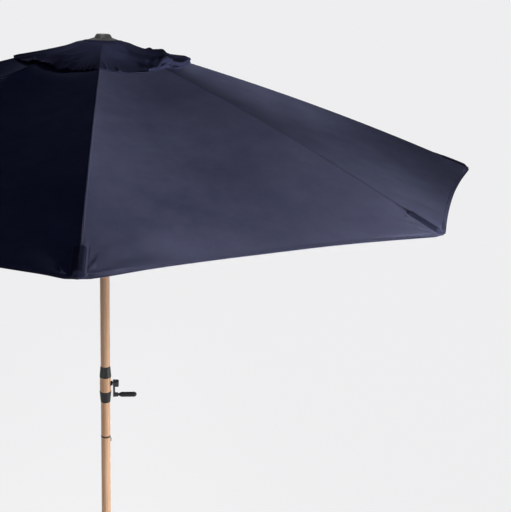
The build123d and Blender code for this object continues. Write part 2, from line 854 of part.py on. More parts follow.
# ================================================================= canopy
def cloth_height(apothem, spread):
    """Cloth above the floor; spread is 1 on a seam and 0 midway between two."""
    share = apothem / rim_apothem
    level = rim_height + canopy_rise * (1 - share)
    arch = seam_height(apothem / cos(radians(half_gore))) - level
    return level + arch * spread**2


def half_panel(side):
    """Half of one canopy panel, from its rib at +X to the panel's middle line."""
    with BuildPart() as panel:
        for part_way, shift in ((0, 1), (0.5, 0), (1, -1)):
            turn = half_gore * part_way
            lean = radians(half_gore - turn)
            spread = tan(lean) / tan(radians(half_gore))
            inner = vent_radius * cos(radians(half_gore))
            outer = rim_apothem - rim_sag * (1 - spread**2)
            line = [
                (apothem / cos(lean), cloth_height(apothem, spread))
                for apothem in (inner, (inner + outer) / 2, outer)
            ]
            under = [(radius, height - cloth) for radius, height in reversed(line)]
            with BuildSketch(radial_plane(side * turn, side * shift * seam_gap / 2)):
                with BuildLine():
                    if spread > 0:
                        ThreePointArc(*line)
                    else:
                        Line(line[0], line[2])
                    Line(line[2], under[0])
                    if spread > 0:
                        ThreePointArc(*under)
                    else:
                        Line(under[0], under[2])
                    Line(under[2], line[0])
                make_face()
        loft(ruled=True)
    return panel


panel_patterns = {"a": half_panel(1), "b": half_panel(-1)}
for number, angle in enumerate(rib_angles, 1):
    place_around(panel_patterns["a"], angle, f"panel_{number}a")
    place_around(panel_patterns["b"], angle + gore, f"panel_{number}b")

cap_hole_radius = pole_radius + cap_hole_clearance
cap_line = [
    (radius, seam_height(radius) + lift)
    for radius, lift in zip((cap_hole_radius, cap_waist_radius, cap_radius), cap_lifts)
]
with BuildPart() as vent_cap:
    with BuildSketch(Plane.XZ):
        under = [(radius, height - cloth) for radius, height in reversed(cap_line)]
        with BuildLine():
            cap_arc = ThreePointArc(*cap_line)
            Line(cap_line[2], under[0])
            ThreePointArc(*under)
            Line(under[2], cap_line[0])
        make_face()
    revolve(axis=Axis.Z)
    with BuildSketch(Plane.XY.offset(rim_height)):
        cap_apothem = cap_radius * cos(radians(half_gore)) - cap_hem_pull
        with BuildLine():
            for angle in rib_angles:
                ThreePointArc(
                    PolarLine((0, 0), cap_radius, angle, mode=Mode.PRIVATE) @ 1,
                    PolarLine((0, 0), cap_apothem, angle + half_gore, mode=Mode.PRIVATE) @ 1,
                    PolarLine((0, 0), cap_radius, angle + gore, mode=Mode.PRIVATE) @ 1,
                )
        make_face()
    extrude(amount=canopy_rise * 2, mode=Mode.INTERSECT)
finish(vent_cap, "vent_cap")

cap_seat = cap_line[0][1] + cloth_gap
washer_edge = (
    cap_arc.arc_center.Y
    - sqrt(cap_arc.radius**2 - (washer_radius - cap_arc.arc_center.X) ** 2)
    + cloth_gap
)
washer_slope = (cap_seat - washer_edge) / (washer_radius - cap_hole_radius)
with BuildPart() as finial:
    with BuildSketch(Plane.XZ):
        with BuildLine():
            Polyline(
                (0, pole_end - finial_plug),
                (pole_bore - ferrule_clearance, pole_end - finial_plug),
                (pole_bore - ferrule_clearance, pole_end),
                (pole_radius, pole_end),
                (pole_radius, cap_seat),
                (cap_hole_radius, cap_seat),
                (washer_radius, washer_edge),
                (washer_radius, washer_edge + washer),
                (finial_radius, cap_seat + washer - washer_slope * (finial_radius - cap_hole_radius)),
                (finial_top_radius, cap_seat + finial_height - finial_edge),
                (finial_top_radius - finial_edge, cap_seat + finial_height),
                (0, cap_seat + finial_height),
                close=True,
            )
        make_face()
    revolve(axis=Axis.Z)
finish(finial, "finial")
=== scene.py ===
import math

import bmesh
import bpy
from mathutils import Matrix, Vector, noise


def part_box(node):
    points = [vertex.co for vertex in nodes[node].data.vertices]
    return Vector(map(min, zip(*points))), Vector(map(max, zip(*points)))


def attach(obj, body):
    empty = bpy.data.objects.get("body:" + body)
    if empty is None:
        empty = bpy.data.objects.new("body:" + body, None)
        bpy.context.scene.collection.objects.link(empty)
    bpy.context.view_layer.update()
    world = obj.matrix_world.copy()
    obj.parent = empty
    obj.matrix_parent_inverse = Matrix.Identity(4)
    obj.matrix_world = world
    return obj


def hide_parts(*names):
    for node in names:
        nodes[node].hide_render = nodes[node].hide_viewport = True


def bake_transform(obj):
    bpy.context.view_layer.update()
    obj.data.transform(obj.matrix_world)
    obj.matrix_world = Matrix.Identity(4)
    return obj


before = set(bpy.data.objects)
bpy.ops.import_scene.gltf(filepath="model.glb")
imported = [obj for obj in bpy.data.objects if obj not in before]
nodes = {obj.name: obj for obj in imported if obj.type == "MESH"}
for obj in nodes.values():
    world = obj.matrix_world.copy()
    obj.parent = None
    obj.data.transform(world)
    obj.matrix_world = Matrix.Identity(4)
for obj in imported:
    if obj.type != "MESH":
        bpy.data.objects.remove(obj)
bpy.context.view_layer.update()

# ---------------------------------------- sizes shared by the cloth pieces, metres
GORES = 8
GORE = 2 * math.pi / GORES
HALF = GORE / 2
SPAN = 1.45  # pole axis to a canopy corner
RIM = 2.08  # corners above the floor
RISE = 0.462  # peak above the corners
BOW = 0.028  # how far a sprung rib arches above its chord
SAG = 0.021  # how far the rim is drawn in between two corners
VENT = 0.150  # radius of the opening under the cap
RIM_APOTHEM = SPAN * math.cos(HALF)
RIM_HALF = RIM_APOTHEM * math.tan(HALF)
SLANT = math.hypot(1, RISE / RIM_APOTHEM)  # length of the sloped cloth for its length in plan
CLOTH = 0.0011  # thickness
ROLL = 0.0011  # radius of a turned edge
HEM = 0.013  # turned-under hem
HEM_STITCH = 0.0115  # stitch line, in from the rim
SEAM = 0.0125  # width of the felled seam over a rib
CAP = 0.325  # cap, from the pole axis to its corners
CAP_CENTRE = 0.046  # where the cap's gores leave its middle patch
CAP_STITCH = 0.009  # its stitch line, in from its hem
TIP_LIFT = 0.0064  # cloth over a rib's tip, above the line of the seam
POLE_JOINT = 0.9175  # height at which the two lengths of the pole meet

chord = math.hypot(SPAN, RISE)
bend = (chord ** 2 / 4 + BOW ** 2) / (2 * BOW)
bend_x = SPAN / 2 - RISE / chord * (bend - BOW)
bend_z = RIM + RISE / 2 - SPAN / chord * (bend - BOW)


def seam_height(radius):
    """Top of the cloth along a rib."""
    return bend_z + math.sqrt(bend ** 2 - (radius - bend_x) ** 2)


def cloth_height(apothem, spread):
    """Top of the cloth; spread is 1 on a rib and 0 midway between two."""
    level = RIM + RISE * (1 - apothem / RIM_APOTHEM)
    arch = seam_height(apothem / math.cos(HALF)) - level
    return level + arch * spread ** 2


def gore_place(x, y):
    """Apothem and spread of a point, within the gore that it lies in."""
    azimuth = math.atan2(y, x) % GORE - HALF
    radius = math.hypot(x, y)
    return radius * math.cos(azimuth), abs(math.tan(azimuth)) / math.tan(HALF)


def rib_place(x, y):
    """How far out along the nearest rib a point lies, and how far to its left."""
    azimuth = (math.atan2(y, x) + HALF) % GORE - HALF
    radius = math.hypot(x, y)
    return radius * math.cos(azimuth), radius * math.sin(azimuth)


def ray(azimuth):
    """Unit vector out from the pole."""
    return Vector((math.cos(azimuth), math.sin(azimuth), 0))


def smooth(low, high, value):
    """0 before low, 1 after high, and an even bend between."""
    share = min(1.0, max(0.0, (value - low) / (high - low)))
    return share * share * (3 - 2 * share)


def tip_rise(x, y):
    """How far the pocketed end of a rib pushes the cloth up."""
    along, aside = rib_place(x, y)
    rise = 0.3 * smooth(1.285, 1.318, along) + 0.7 * smooth(1.29, 1.42, along)
    rise *= 1 - smooth(1.424, SPAN - 0.0105, along)
    return TIP_LIFT * rise * (1 - smooth(0.0085, 0.0235, abs(aside)))


def slack(x, y, apothem, spread):
    """Shallow waves of cloth that is not drawn quite tight, calm along the ribs."""
    ease = (1 - spread ** 2) * smooth(0.2, 0.5, apothem)
    spot = Vector((x, y, 0))
    broad = noise.noise(spot * 2.9 + Vector((3.1, 7.7, 0.4)))
    middle = noise.noise(spot * 6.5 + Vector((9.2, 1.9, 2.4)))
    fine = noise.noise(spot * 19 + Vector((0.7, 4.2, 5.9)))
    waves = 0.0030 * broad + 0.0012 * middle + 0.0003 * fine
    # short pleats that fan out from the corner pockets
    along, aside = rib_place(x, y)
    back = SPAN - along
    away = math.hypot(back, aside)
    fan = math.atan2(abs(aside), max(back, 1e-6))
    pleat = math.sin(fan * 17 + 9 * noise.noise(spot * 2.2 + Vector((0, 0, 8))))
    near = smooth(0.03, 0.09, away) * (1 - smooth(0.10, 0.30, away)) * smooth(0.16, 0.5, fan)
    return waves * ease + 0.0011 * pleat * near


def canopy_top(x, y):
    """Height of the canopy's upper side at any point of the plan."""
    apothem, spread = gore_place(x, y)
    return cloth_height(apothem, spread) + slack(x, y, apothem, spread) + tip_rise(x, y)


# ---------------------------------------- meshes
def finish_mesh(name, bm, material):
    """An object in the scene, smooth but for its open edges."""
    for edge in bm.edges:
        edge.smooth = not edge.is_boundary
    mesh = bpy.data.meshes.new(name)
    bm.to_mesh(mesh)
    bm.free()
    for face in mesh.polygons:
        face.use_smooth = True
    mesh.materials.append(material)
    piece = bpy.data.objects.new(name, mesh)
    bpy.context.scene.collection.objects.link(piece)
    return piece


def thicken(piece, thickness):
    """Give a sheet its thickness, under the side that is drawn."""
    wall = piece.modifiers.new("thickness", "SOLIDIFY")
    wall.thickness = thickness
    wall.offset = -1
    return piece


def cloth_grid(across, along, place, cut, edge=None):
    """A grid with its vertices where place(i, j) says; cut and edge give its maps, in metres on the cut cloth
    and from the sewn edge."""
    bm = bmesh.new()
    maps = [(bm.loops.layers.uv.new("weave"), cut)]
    if edge:
        maps.append((bm.loops.layers.uv.new("edge"), edge))
    bmesh.ops.create_grid(bm, x_segments=across, y_segments=along, size=0.5)
    address = {
        vert: (round((vert.co.x + 0.5) * across), round((vert.co.y + 0.5) * along))
        for vert in bm.verts
    }
    for face in bm.faces:
        for loop in face.loops:
            for layer, spot in maps:
                loop[layer].uv = spot(*address[loop.vert])
    for vert, (i, j) in address.items():
        vert.co = place(i, j)
    return bm


def cloth_piece(name, bm, material, thickness=CLOTH):
    """A sheet whose drawn side looks up, thickened downwards."""
    bmesh.ops.recalc_face_normals(bm, faces=bm.faces)
    if sum(face.normal.z for face in bm.faces) < 0:
        bmesh.ops.reverse_faces(bm, faces=bm.faces)
    return thicken(finish_mesh(name, bm, material), thickness)


# ---------------------------------------- materials
class Finish:
    """A procedural material under construction."""

    def __init__(self, name):
        self.material = bpy.data.materials.new(name)
        self.material.use_nodes = True
        self.tree = self.material.node_tree
        self.shader = self.tree.nodes["Principled BSDF"]

    def node(self, kind, inputs=(), **settings):
        """A shader node; inputs are values, or sockets to link to."""
        made = self.tree.nodes.new("ShaderNode" + kind)
        for name, value in settings.items():
            setattr(made, name, value)
        for name, value in dict(inputs).items():
            if isinstance(value, bpy.types.NodeSocket):
                self.tree.links.new(value, made.inputs[name])
            else:
                made.inputs[name].default_value = value
        return made

    def math(self, operation, a, b=0.0, c=0.0):
        return self.node("Math", {0: a, 1: b, 2: c}, operation=operation).outputs[0]

    def mix(self, share, colour, other):
        """The first colour, which is a socket, gives way to the other where share is 1."""
        if not isinstance(other, bpy.types.NodeSocket):
            other = paint(other)
        return self.node("Mix", {0: share, 6: colour, 7: other}, data_type="RGBA").outputs[2]

    def noise(self, place, scale, detail, roughness=0.55):
        made = self.node(
            "TexNoise", {"Vector": place, "Scale": scale, "Detail": detail, "Roughness": roughness}
        )
        return made.outputs["Fac"]

    def scaled(self, value, factor, least):
        return self.math("ADD", self.math("MULTIPLY", value, factor), least)

    def weighed(self, first, much, second, rest):
        """The sum of two values, each times its weight."""
        return self.math("ADD", self.math("MULTIPLY", first, much), self.math("MULTIPLY", second, rest))

    def away(self, value, middle):
        """How far value is from middle."""
        return self.math("ABSOLUTE", self.math("SUBTRACT", value, middle))

    def wave(self, value, pitch):
        """A sine that repeats after each pitch."""
        return self.math("SINE", self.math("MULTIPLY", value, 2 * math.pi / pitch))

    def split(self, place):
        """The X, Y and Z of a place."""
        return self.node("SeparateXYZ", {"Vector": place}).outputs

    def between(self, value, low, high, first=0.0, last=1.0):
        """first where value is under low, last where it is over high, and even between."""
        span = {"Value": value, "From Min": low, "From Max": high, "To Min": first, "To Max": last}
        return self.node("MapRange", span).outputs["Result"]

    def ramp(self, value, stops):
        """A colour that runs through the stops, which are positions from 0 to 1 and colours."""
        made = self.node("ValToRGB", {"Fac": value})
        elements = made.color_ramp.elements
        while len(elements) < len(stops):
            elements.new(0.5)
        for element, (position, colour) in zip(elements, stops):
            element.position = position
            element.color = paint(colour)
        return made.outputs["Color"]

    def place(self, scale=(1, 1, 1), uv=None):
        """Where a point lies in the piece, or on one of its maps."""
        if uv is None:
            coordinates = self.node("TexCoord").outputs["Object"]
        else:
            coordinates = self.node("UVMap", uv_map=uv).outputs["UV"]
        return self.turned(coordinates, scale=scale)

    def turned(self, place, turn=(0, 0, 0), scale=(1, 1, 1)):
        mapping = {"Vector": place, "Scale": scale, "Rotation": turn}
        return self.node("Mapping", mapping).outputs["Vector"]

    def bump(self, height, distance, strength):
        made = self.node("Bump", {"Height": height, "Distance": distance, "Strength": strength})
        self.tree.links.new(made.outputs["Normal"], self.shader.inputs["Normal"])

    def set(self, **values):
        for name, value in values.items():
            socket = self.shader.inputs[name.replace("_", " ")]
            if isinstance(value, bpy.types.NodeSocket):
                self.tree.links.new(value, socket)
            else:
                socket.default_value = value


def linear(code):
    """Linear colour of a hex code."""
    parts = [int(code[i:i + 2], 16) / 255 for i in (0, 2, 4)]
    return tuple(c / 12.92 if c <= 0.04045 else ((c + 0.055) / 1.055) ** 2.4 for c in parts)


def paint(colour):
    """Four parts of an opaque colour, from a hex code or from its three linear parts."""
    return (*(linear(colour) if isinstance(colour, str) else colour), 1)


WEAVE = 0.0009  # two threads
STITCH = 0.0042  # one stitch and the gap after it
THREAD = (0.0005, 0.0009)  # half width of a stitch where it is full, and where it ends


def woven_cloth(name, base, light, stitch_lines=(), painted_hem_shade=False):
    """Plain-weave solution-dyed canvas, with a row of stitches at each of stitch_lines from the sewn edge."""
    finish = Finish(name)
    split = finish.split(finish.place(uv="weave"))
    weave = finish.math("MULTIPLY", finish.wave(split["X"], WEAVE), finish.wave(split["Y"], WEAVE))
    body = finish.place()
    cloudy = finish.noise(body, 2.4, 4, 0.6)
    patchy = finish.noise(body, 11.0, 3, 0.6)
    slub = finish.noise(finish.place(uv="weave", scale=(900, 60, 1)), 1.0, 2, 0.5)
    broad = finish.weighed(cloudy, 0.55, patchy, 0.25)
    fine = finish.weighed(slub, 0.16, weave, 0.03)
    share = finish.math("ADD", broad, fine)
    colour = finish.ramp(share, [(0.34, base), (0.64, light)])
    height = finish.weighed(weave, 0.5, slub, 0.5)
    if stitch_lines:
        edge = finish.split(finish.place(uv="edge"))
        sewn = 0.0
        for line in stitch_lines:
            thread = finish.between(finish.away(edge["X"], line), *THREAD, 1.0, 0.0)
            sewn = finish.math("MAXIMUM", thread, sewn)
        on = finish.between(finish.wave(edge["Y"], STITCH), -0.5, -0.2)
        stitch = finish.math("MULTIPLY", sewn, on)
        # painted shade: the sunk gaps between the stitches are painted darker
        stitch_hole_shade = finish.math("MULTIPLY", sewn, finish.math("SUBTRACT", 1.0, on))
        colour = finish.mix(finish.math("MULTIPLY", stitch, 0.8), colour, [1.9 * c for c in light])
        colour = finish.mix(stitch_hole_shade, colour, [0.25 * c for c in base])
        height = finish.math("ADD", height, finish.math("MULTIPLY", stitch, 3.0))
        height = finish.math("SUBTRACT", height, finish.math("MULTIPLY", stitch_hole_shade, 2.0))
    # painted shade: the cloth is painted darker along the rolled edge of the hem
    if painted_hem_shade:
        fold = finish.between(edge["X"], 0.0006, 0.0024, 0.65, 0.0)
        colour = finish.mix(fold, colour, [0.2 * c for c in base])
    finish.set(Base_Color=colour, Roughness=0.86, Specular_IOR_Level=0.015)
    finish.set(Sheen_Weight=0.010, Sheen_Roughness=0.5, Sheen_Tint=(0.55, 0.62, 1.0, 1))
    finish.bump(height, 0.0002, 0.6)
    return finish.material


def printed_oak(name, turn=None, lean=0.0, joint=None):
    """Pale oak grain printed on tube, up a pole or out along a rib or strut that lies at turn and lean; joint
    is the height at which two lengths of pole meet, with painted shade along their ends."""
    finish = Finish(name)
    body = finish.place()
    # noise scales twice across and then along the grain, for its lines, its figure and its pores
    scales = (260, 260, 5), (38, 38, 1.3), (1100, 1100, 26)
    if turn is not None:
        body = finish.turned(body, (0, 0, -turn))
        body = finish.turned(body, (0, lean, 0))
        scales = [scale[::-1] for scale in scales]
    lined, figured, pored = (finish.turned(body, scale=scale) for scale in scales)
    grain = finish.noise(lined, 1.0, 5, 0.62)
    figure = finish.noise(figured, 1.0, 3, 0.5)
    pores = finish.noise(pored, 1.0, 2, 0.5)
    share = finish.weighed(grain, 0.55, figure, 0.45)
    tones = ((0.28, "ad815d"), (0.45, "cfa37d"), (0.58, "dfb792"), (0.75, "eac9a8"))
    colour = finish.ramp(share, tones)
    colour = finish.mix(finish.between(pores, 0.60, 0.72, 0.0, 0.35), colour, "8a6140")
    rough = finish.scaled(grain, 0.2, 0.42)
    if joint is not None:
        # painted shade: the print is darkened either side of the joint where the two lengths of pole meet
        away = finish.away(finish.split(body)["Z"], joint)
        joint_shade = finish.between(away, 0.0036, 0.0052, 0.9, 0.0)
        colour = finish.mix(joint_shade, colour, "2b1a12")
    finish.set(Base_Color=colour, Specular_IOR_Level=0.4, Roughness=rough)
    finish.bump(grain, 0.0002, 0.35)
    return finish.material


def worn_edge(finish, low, high, value):
    """Patchy wear that starts at low and is heaviest at high."""
    edge = finish.between(value, low, high)
    patch = finish.between(finish.noise(finish.place(), 95, 4, 0.65), 0.46, 0.62)
    return finish.math("MULTIPLY", edge, patch)


def moulded_charcoal(name, code="1d1d1e", rough=0.5, grain=900.0):
    """Glass-filled nylon with a spark-eroded texture."""
    finish = Finish(name)
    place = finish.place()
    speckle = finish.noise(place, grain, 3, 0.6)
    broad = finish.noise(place, 26, 2)
    flow = finish.noise(finish.place(scale=(30, 30, 160)), 1.0, 2)
    pale = [1.5 * c + 0.004 for c in linear(code)]
    share = finish.weighed(broad, 0.7, flow, 0.3)
    finish.set(Base_Color=finish.ramp(share, [(0.3, code), (0.75, pale)]), Specular_IOR_Level=0.3)
    finish.set(Roughness=finish.scaled(broad, 0.18, rough - 0.08))
    finish.bump(speckle, 0.00015, 0.5)
    return finish.material


def powder_coat(name, rim=None, top=None):
    """Baked charcoal powder over steel, with an orange-peel skin. It is rubbed through from one distance
    from the pole axis to another, which rim gives, or from one height to another, which top gives."""
    finish = Finish(name)
    peel = finish.noise(finish.place(), 520, 2, 0.5)
    dust = finish.noise(finish.place(), 14, 4, 0.6)
    colour = finish.ramp(dust, [(0.35, "29292b"), (0.70, [1.35 * c + 0.006 for c in linear("29292b")])])
    if rim or top:
        split = finish.split(finish.place())
        if rim:
            east, north = finish.math("ABSOLUTE", split["X"]), finish.math("ABSOLUTE", split["Y"])
            worn = worn_edge(finish, *rim, finish.math("MAXIMUM", east, north))
        else:
            worn = worn_edge(finish, *top, split["Z"])
        colour = finish.mix(finish.math("MULTIPLY", worn, 0.6), colour, "77777a")
    finish.set(Base_Color=colour, Specular_IOR_Level=0.4)
    finish.set(Roughness=finish.scaled(dust, 0.25, 0.34))
    finish.bump(peel, 0.00025, 0.45)
    return finish.material


WASHER_TOP = 2.5406  # under the finial's disc
FINIAL_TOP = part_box("finial")[1][2]
SHADED_TOP_DEPTH = 0.0016  # depth of the top of the disc that is painted dark, as painted shade


def capped_finial(name):
    """Cast disc, brushed on its side, on a dull washer; its top is painted dark, as painted shade."""
    finish = Finish(name)
    height = finish.split(finish.place())["Z"]
    lines = finish.noise(finish.place(scale=(60, 60, 1500)), 1.0, 3, 0.6)
    side = finish.ramp(lines, [(0.3, "0f0e0e"), (0.7, "181716")])
    washer = finish.ramp(lines, [(0.3, "161617"), (0.7, "222122")])
    colour = finish.mix(finish.math("LESS_THAN", height, WASHER_TOP), side, washer)
    # painted shade: the top of the disc is painted darker than its side
    top = finish.between(height, FINIAL_TOP - SHADED_TOP_DEPTH, FINIAL_TOP)
    colour = finish.mix(top, colour, "0b0a0a")
    finish.set(Base_Color=colour, Specular_IOR_Level=0.22)
    finish.set(Roughness=finish.scaled(lines, 0.2, 0.45))
    finish.bump(lines, 0.0001, 0.4)
    return finish.material


def plain_metal(name, code, rough=0.32, brushed=(400, 400, 40), joint_shade_band=None):
    """Brushed or plated metal; the band of heights, if given, is painted dark, as painted shade in the pole's
    joint.
    """
    finish = Finish(name)
    lines = finish.noise(finish.place(scale=brushed), 1.0, 3, 0.6)
    spangle = finish.noise(finish.place(), 240, 2, 0.7)
    dull = [0.7 * c for c in linear(code)]
    colour = finish.ramp(lines, [(0.3, dull), (0.7, code)])
    colour = finish.mix(finish.math("MULTIPLY", spangle, 0.3), colour, dull)
    if joint_shade_band:
        # painted shade: within this band the metal is painted dark and not metallic, for the pole's joint
        middle, half = sum(joint_shade_band) / 2, (joint_shade_band[1] - joint_shade_band[0]) / 2
        away = finish.away(finish.split(finish.place())["Z"], middle)
        joint_shade = finish.math("LESS_THAN", away, half)
        colour = finish.mix(joint_shade, colour, "2b1c14")
        finish.set(Metallic=finish.math("SUBTRACT", 1.0, joint_shade))
    else:
        finish.set(Metallic=1.0)
    finish.set(Base_Color=colour)
    finish.set(Roughness=finish.scaled(lines, 0.25, rough - 0.1))
    finish.bump(lines, 0.0001, 0.3)
    return finish.material


def cast_concrete(name):
    """Grey ballast with fine pores and pale laitance."""
    finish = Finish(name)
    cloudy = finish.noise(finish.place(), 9, 6, 0.65)
    sand = finish.noise(finish.place(), 420, 3, 0.6)
    cells = finish.node("TexVoronoi", {"Vector": finish.place(), "Scale": 130.0}).outputs["Distance"]
    pore = finish.between(cells, 0.10, 0.22, 1.0, 0.0)
    colour = finish.ramp(cloudy, [(0.30, "85817c"), (0.52, "a3a09a"), (0.72, "b7b4ad")])
    colour = finish.mix(finish.math("MULTIPLY", pore, 0.7), colour, "5b5854")
    finish.set(Base_Color=colour, Roughness=0.92, Specular_IOR_Level=0.2)
    height = finish.math("SUBTRACT", finish.math("MULTIPLY", sand, 0.4), pore)
    finish.bump(height, 0.0008, 0.7)
    return finish.material


RUBBER_PITCH = 0.004  # between two of its moulded ribs


def rubber_pad(name):
    """Black ribbed rubber with a dull bloom."""
    finish = Finish(name)
    bloom = finish.noise(finish.place(), 60, 4, 0.6)
    ribs = finish.wave(finish.split(finish.place())["X"], RUBBER_PITCH)
    finish.set(Base_Color=finish.ramp(bloom, [(0.3, "1a1a1a"), (0.75, "2c2c2b")]))
    finish.set(Roughness=0.85, Specular_IOR_Level=0.25)
    finish.bump(finish.math("ADD", ribs, bloom), 0.0002, 0.6)
    return finish.material


def nylon_sheave(name):
    """Natural nylon, rubbed by the cord."""
    finish = Finish(name)
    rubbed = finish.noise(finish.place(), 180, 3, 0.6)
    finish.set(Base_Color=finish.ramp(rubbed, [(0.3, "d9d6cb"), (0.7, "efede4")]))
    finish.set(Roughness=finish.scaled(rubbed, 0.2, 0.3))
    finish.set(Specular_IOR_Level=0.5)
    finish.bump(rubbed, 0.0001, 0.3)
    return finish.material


BRAID = 0.0034  # one turn of the braid's lay


def braided_cord(name, centre):
    """White polyester braid with a navy tracer; centre is the line of the run, in plan."""
    finish = Finish(name)
    split = finish.split(finish.place())
    east, north = (finish.math("SUBTRACT", split[axis], centre[k]) for k, axis in enumerate("XY"))
    turn = finish.math("MULTIPLY", finish.math("ARCTAN2", north, east), 4.0)
    pitch = finish.math("MULTIPLY", split["Z"], 2 * math.pi / BRAID)
    left_lay = finish.math("SINE", finish.math("ADD", pitch, turn))
    right_lay = finish.math("SINE", finish.math("SUBTRACT", pitch, turn))
    braid = finish.math("MULTIPLY", left_lay, right_lay)
    winding = finish.weighed(pitch, 0.25, turn, 0.25)
    tracer = finish.math("GREATER_THAN", finish.math("SINE", winding), 0.8)
    raised = finish.math("MULTIPLY_ADD", braid, 0.5, 0.5)
    colour = finish.ramp(raised, [(0.1, "a9a69d"), (0.7, "e0ded6")])
    colour = finish.mix(tracer, colour, "2b2f4c")
    finish.set(Base_Color=colour, Roughness=0.8, Specular_IOR_Level=0.2, Sheen_Weight=0.1)
    finish.bump(braid, 0.0003, 0.8)
    return finish.material


# each cloth's linear colour where it is darkest and where it is lightest
NAVY = (0.0275, 0.0290, 0.0530), (0.0525, 0.0540, 0.0860)
NAVY_SEAM = (0.0180, 0.0190, 0.0350), (0.0340, 0.0350, 0.0570)
# the cap's cloth is the canopy's navy painted darker, as painted shade
NAVY_CAP_SHADED = (0.0063, 0.0070, 0.0172), (0.0119, 0.0128, 0.0266)
# the pockets' cloth is the canopy's navy painted darker, as painted shade on the flanks over the rib tips
NAVY_POCKET_SHADED = (0.0075, 0.0082, 0.0175), (0.0140, 0.0150, 0.0290)
SEAM_STITCH = 0.0042  # either side of the seam's middle
COVER_STITCH = 0.0135  # either side of the pocket cover's middle
navy = woven_cloth("navy_canvas", *NAVY)
# the hemmed cloth is painted darker along its rolled edge, as painted shade
navy_hemmed = woven_cloth("navy_hemmed", *NAVY, stitch_lines=(HEM_STITCH,), painted_hem_shade=True)
navy_seam = woven_cloth("navy_seam", *NAVY_SEAM, stitch_lines=(-SEAM_STITCH, SEAM_STITCH))
navy_cap_shaded = woven_cloth("navy_cap_shaded", *NAVY_CAP_SHADED, stitch_lines=(CAP_STITCH,))
navy_pocket_shaded = woven_cloth("navy_pocket_shaded", *NAVY_POCKET_SHADED, stitch_lines=(-COVER_STITCH, COVER_STITCH))
oak = printed_oak("oak_print", joint=POLE_JOINT)
charcoal = moulded_charcoal("charcoal_moulding")
soft_grip = moulded_charcoal("charcoal_grip", "1f1f20", rough=0.62, grain=1400.0)
coat = powder_coat("charcoal_coat")
coat_cover = powder_coat("charcoal_cover", rim=(0.2425, 0.2500))
coat_tube = powder_coat("charcoal_tube", top=(0.4180, 0.4300))
steel = plain_metal("zinc_plate", "b9bbbd")
spring_steel = plain_metal("spring_steel", "8d8f92", rough=0.28)
# heights either side of the pole's joint where the ferrule is painted dark, as painted shade
JOINT_SHADE_BAND = (POLE_JOINT - 0.0055, POLE_JOINT + 0.0055)
alloy = plain_metal("bare_alloy", "c6c7c9", rough=0.36, brushed=(60, 60, 900), joint_shade_band=JOINT_SHADE_BAND)

# ---------------------------------------- canopy
# millimetres from the rib along the rim, closest beside the seam and the corner pocket
COLUMNS = [0, 3, 6, 8.5, 10.5, 12, 13.4, 14.8, 16.2, 18, 21, 26, 34, 48, 70]
COLUMNS += [98, 135, 180, 230, 285, 340, 395, 450, 503, 555]
BODY_ROWS = 58
RIM_ROWS = [-20, -15, -13.2, -12.3, -11.5, -10.7, -9.8, -6, -2.6, -1, 0]  # millimetres from the rim
TURN_ROWS = 6  # round the rolled edge
UNDER_ROWS = 3  # back under the hem
CORNER_BLUNT = 0.0062  # how far a corner is cut back
BLUNT_REACH = 0.040  # how far along the rim that shows
DIMPLE = 0.00035  # how far the stitches pull the cloth down


def rim_apothem(spread):
    """The rim is drawn in between two corners, and the corners are blunt."""
    aside = (1 - spread) * RIM_HALF
    blunt = CORNER_BLUNT * (1 - smooth(0, BLUNT_REACH, aside))
    return RIM_APOTHEM - SAG * (1 - spread ** 2) - blunt


def rib_frame(number):
    """Unit vectors out along a rib and to its left."""
    out = ray(GORE * (number - 1))
    return out, Vector((-out.y, out.x, 0))


def hung_on(number, half):
    """The rib that half a gore hangs on, and its side of that rib: 1 for left, -1 for right."""
    return (number, 1) if half == "a" else (number % GORES + 1, -1)


def turn_at_rib(piece, rib, side):
    """Bake the piece's placement into its mesh."""
    out, left = rib_frame(rib)
    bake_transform(piece)


def panel_cloth(number, half):
    """Half of one gore, from its rib to the gore's middle, with its rim turned under and stitched."""
    rib, side = hung_on(number, half)
    middle = GORE * (rib - 1) + side * HALF
    inner = VENT * math.cos(HALF)

    def flat(i, j):
        """Spread, lean, apothem and the part of the turned hem that is used up."""
        spread = 1 - COLUMNS[i] / COLUMNS[-1]
        lean = math.atan(spread * math.tan(HALF))
        outer = rim_apothem(spread)
        if j <= BODY_ROWS:
            return spread, lean, inner + (outer + RIM_ROWS[0] / 1000 - inner) * j / BODY_ROWS, 0.0
        if j < BODY_ROWS + len(RIM_ROWS):
            return spread, lean, outer + RIM_ROWS[j - BODY_ROWS] / 1000, 0.0
        return spread, lean, outer, (j - BODY_ROWS - len(RIM_ROWS) + 1) / TURN_ROWS

    def place(i, j):
        spread, lean, apothem, beyond = flat(i, j)
        drop = DIMPLE * (1 - smooth(0, 0.0012, abs(rim_apothem(spread) - HEM_STITCH - apothem)))
        if beyond > 0:
            drop = ROLL * (1 - math.cos(min(beyond, 1) * math.pi))
            apothem += ROLL * math.sin(min(beyond, 1) * math.pi) - 2 * HEM * max(0.0, beyond - 1)
        radius = apothem / math.cos(lean)
        azimuth = middle - side * lean
        x, y = radius * math.cos(azimuth), radius * math.sin(azimuth)
        return Vector((x, y, canopy_top(x, y) - drop))

    def cut(i, j):
        _, lean, apothem, beyond = flat(i, j)
        return apothem * math.tan(lean) * side, (apothem + beyond * HEM) * SLANT

    def edge(i, j):
        spread, _, apothem, beyond = flat(i, j)
        turned = max(0.0, beyond - 0.7) / 0.3 if beyond < 1 else beyond
        return rim_apothem(spread) - apothem + turned * HEM, (1 - spread) * RIM_HALF

    rows = BODY_ROWS + len(RIM_ROWS) - 1 + TURN_ROWS + UNDER_ROWS
    bm = cloth_grid(len(COLUMNS) - 1, rows, place, cut, edge)
    piece = cloth_piece(f"canopy_{number}{half}", bm, navy_hemmed)
    panel = f"panel_{number}{half}"
    turn_at_rib(piece, rib, side)
    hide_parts(panel)


